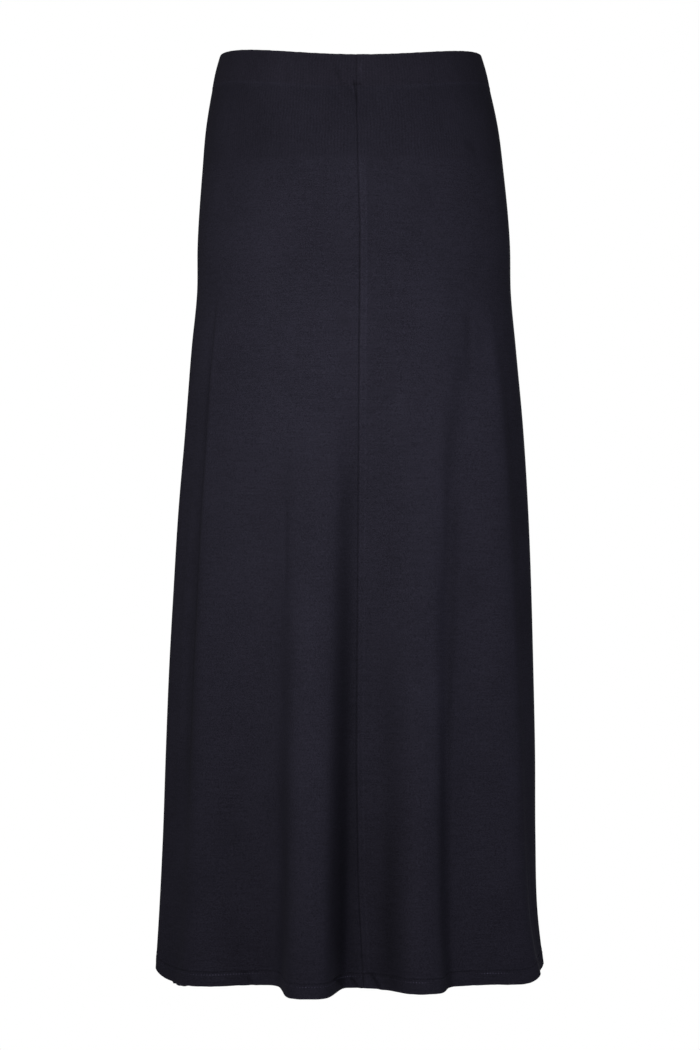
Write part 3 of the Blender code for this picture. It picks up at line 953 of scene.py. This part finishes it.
def stitches(material):
    """Rows of stitches round the hem, joined into one mesh."""
    points, faces, tones = [], [], []
    sample = np.linspace(RIGHT_SIDE, RIGHT_SIDE + 360, HEM_SAMPLES)
    corner = np.arange(STITCH_CORNERS)
    turn = 2 * np.pi * corner / STITCH_CORNERS
    one = len(STITCH_RINGS) * STITCH_CORNERS
    start = 0
    for row, light in zip(STITCH_ROWS, THREAD_LIGHT):
        line, normal = face_points(sample, hem_edge(sample) + row)
        along = np.append(0, np.cumsum(np.linalg.norm(np.diff(line, axis=0), axis=1)))
        count = int(along[-1] / STITCH_PITCH)
        middle = (np.arange(count) + 0.5) * along[-1] / count
        rings = []
        for ring in STITCH_RINGS:
            place = middle + ring.along * STITCH_LENGTH / 2
            out = read_along(place, along, normal)
            centre = read_along(place, along, line) + out * ring.lift * STITCH_RADIUS
            upright = np.array((0, 0, STITCH_TALL)) * np.cos(turn)[:, None]
            spoke = upright + out[:, None, :] * np.sin(turn)[:, None]
            rings.append(centre[:, None, :] + spoke * ring.width * STITCH_RADIUS)
        points.append(np.stack(rings, axis=1).reshape(-1, 3))
        tones.append(np.repeat(thread_tone(np.interp(middle, along, sample), light), one))
        first = start + one * np.arange(count)[:, None, None]
        base = STITCH_CORNERS * np.arange(len(STITCH_RINGS) - 1)[:, None]
        a = first + base + corner
        b = first + base + (corner + 1) % STITCH_CORNERS
        quads = np.stack([a, b, b + STITCH_CORNERS, a + STITCH_CORNERS], axis=-1)
        faces += quads.reshape(-1, 4).tolist()
        ends = first[:, 0] + corner
        faces += ends[:, ::-1].tolist()
        faces += (ends + one - STITCH_CORNERS).tolist()
        start += one * count
    mesh = bpy.data.meshes.new("hem_stitches")
    mesh.from_pydata(np.concatenate(points).tolist(), [], faces)
    lightness = np.concatenate(tones)
    mesh.attributes.new("painted_light_and_tone", "FLOAT", "POINT").data.foreach_set("value", lightness)
    mesh.validate()
    mesh.shade_smooth()
    mesh.materials.append(material)
    piece = bpy.data.objects.new("hem_stitches", mesh)
    bpy.context.scene.collection.objects.link(piece)
    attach(piece, "root")
    return piece


def area_light(light):
    """A soft light that the camera doesn't see."""
    data = bpy.data.lights.new(light.name, "AREA")
    data.shape = "RECTANGLE"
    data.size, data.size_y = light.size
    data.energy = light.power
    data.color = light.colour
    lamp = bpy.data.objects.new(light.name, data)
    bpy.context.scene.collection.objects.link(lamp)
    lamp.location = light.place
    direction = Vector(light.place) - Vector(light.target)
    lamp.rotation_euler = direction.to_track_quat("Z", "Y").to_euler()
    lamp.visible_camera = False


def floor():
    """A plain pale floor that fades out into the white of the room."""
    corners = [(x * FLOOR_REACH, y * FLOOR_REACH, FLOOR_LEVEL) for x, y in FLOOR_CORNERS]
    mesh = bpy.data.meshes.new("floor")
    mesh.from_pydata(corners, [], [range(len(corners))])
    piece = bpy.data.objects.new("floor", mesh)
    bpy.context.scene.collection.objects.link(piece)
    material = bpy.data.materials.new("pale_floor")
    material.use_nodes = True
    nodes, links = material.node_tree.nodes, material.node_tree.links
    shader = nodes["Principled BSDF"]
    shader.inputs["Roughness"].default_value = FLOOR_ROUGHNESS
    shader.inputs["Specular IOR Level"].default_value = FLOOR_SPECULAR
    place = nodes.new("ShaderNodeTexCoord")
    speckle = nodes.new("ShaderNodeTexNoise")
    speckle.inputs["Scale"].default_value = FLOOR_SPECKLE
    links.new(place.outputs["Object"], speckle.inputs["Vector"])
    tint = nodes.new("ShaderNodeMix")
    tint.data_type = "RGBA"
    tint.inputs["A"].default_value = FLOOR_COLOURS[0]
    tint.inputs["B"].default_value = FLOOR_COLOURS[1]
    links.new(speckle.outputs["Fac"], tint.inputs["Factor"])
    links.new(tint.outputs["Result"], shader.inputs["Base Color"])
    flat = nodes.new("ShaderNodeVectorMath")
    flat.operation = "MULTIPLY"
    flat.inputs[1].default_value = (1, 1, 0)
    links.new(place.outputs["Object"], flat.inputs[0])
    distance = nodes.new("ShaderNodeVectorMath")
    distance.operation = "LENGTH"
    links.new(flat.outputs["Vector"], distance.inputs[0])
    fade = nodes.new("ShaderNodeMapRange")
    fade.interpolation_type = "SMOOTHSTEP"
    fade.inputs["From Min"].default_value = FLOOR_FADE[0]
    fade.inputs["From Max"].default_value = FLOOR_FADE[1]
    fade.inputs["To Min"].default_value = 1 - FLOOR_COVER
    links.new(distance.outputs["Value"], fade.inputs["Value"])
    clear = nodes.new("ShaderNodeBsdfTransparent")
    mix = nodes.new("ShaderNodeMixShader")
    links.new(fade.outputs["Result"], mix.inputs["Fac"])
    links.new(shader.outputs["BSDF"], mix.inputs[1])
    links.new(clear.outputs["BSDF"], mix.inputs[2])
    links.new(mix.outputs["Shader"], nodes["Material Output"].inputs["Surface"])
    mesh.materials.append(material)


def studio():
    """The room, its lights, the floor and the camera."""
    scene = bpy.context.scene
    scene.view_settings.view_transform = "Standard"
    world = bpy.data.worlds.new("studio")
    scene.world = world
    world.use_nodes = True
    nodes, links = world.node_tree.nodes, world.node_tree.links
    background = nodes["Background"]
    background.inputs["Color"].default_value = ROOM_COLOUR
    background.inputs["Strength"].default_value = ROOM_STRENGTH
    seen = nodes.new("ShaderNodeBackground")
    seen.inputs["Color"].default_value = BACKDROP_COLOUR
    seen.inputs["Strength"].default_value = BACKDROP_STRENGTH
    path = nodes.new("ShaderNodeLightPath")
    mix = nodes.new("ShaderNodeMixShader")
    links.new(path.outputs["Is Camera Ray"], mix.inputs["Fac"])
    links.new(background.outputs["Background"], mix.inputs[1])
    links.new(seen.outputs["Background"], mix.inputs[2])
    links.new(mix.outputs["Shader"], nodes["World Output"].inputs["Surface"])

    for light in LIGHTS:
        area_light(light)
    floor()

    data = bpy.data.cameras.new("camera")
    data.lens = CAMERA_LENS
    data.sensor_width = CAMERA_SENSOR
    data.clip_end = CAMERA_REACH
    camera = bpy.data.objects.new("camera", data)
    scene.collection.objects.link(camera)
    camera.location = (CAMERA_SIDE, -CAMERA_DISTANCE, CAMERA_HEIGHT)
    camera.rotation_euler = (math.radians(90), 0, 0)
    scene.camera = camera


cloth = jersey("navy_jersey", *PANEL_COLOURS)
band_cloth = jersey("band_jersey", *BAND_COLOURS)
right = panel("front_right_panel", RIGHT_SIDE, CENTRE_FRONT, cloth)
left = panel("front_left_panel", CENTRE_FRONT, LEFT_SIDE, cloth)
back = panel("back_panel", LEFT_SIDE, RIGHT_SIDE + 360, cloth)
waistband = band(band_cloth)
stitches(cloth)
studio()
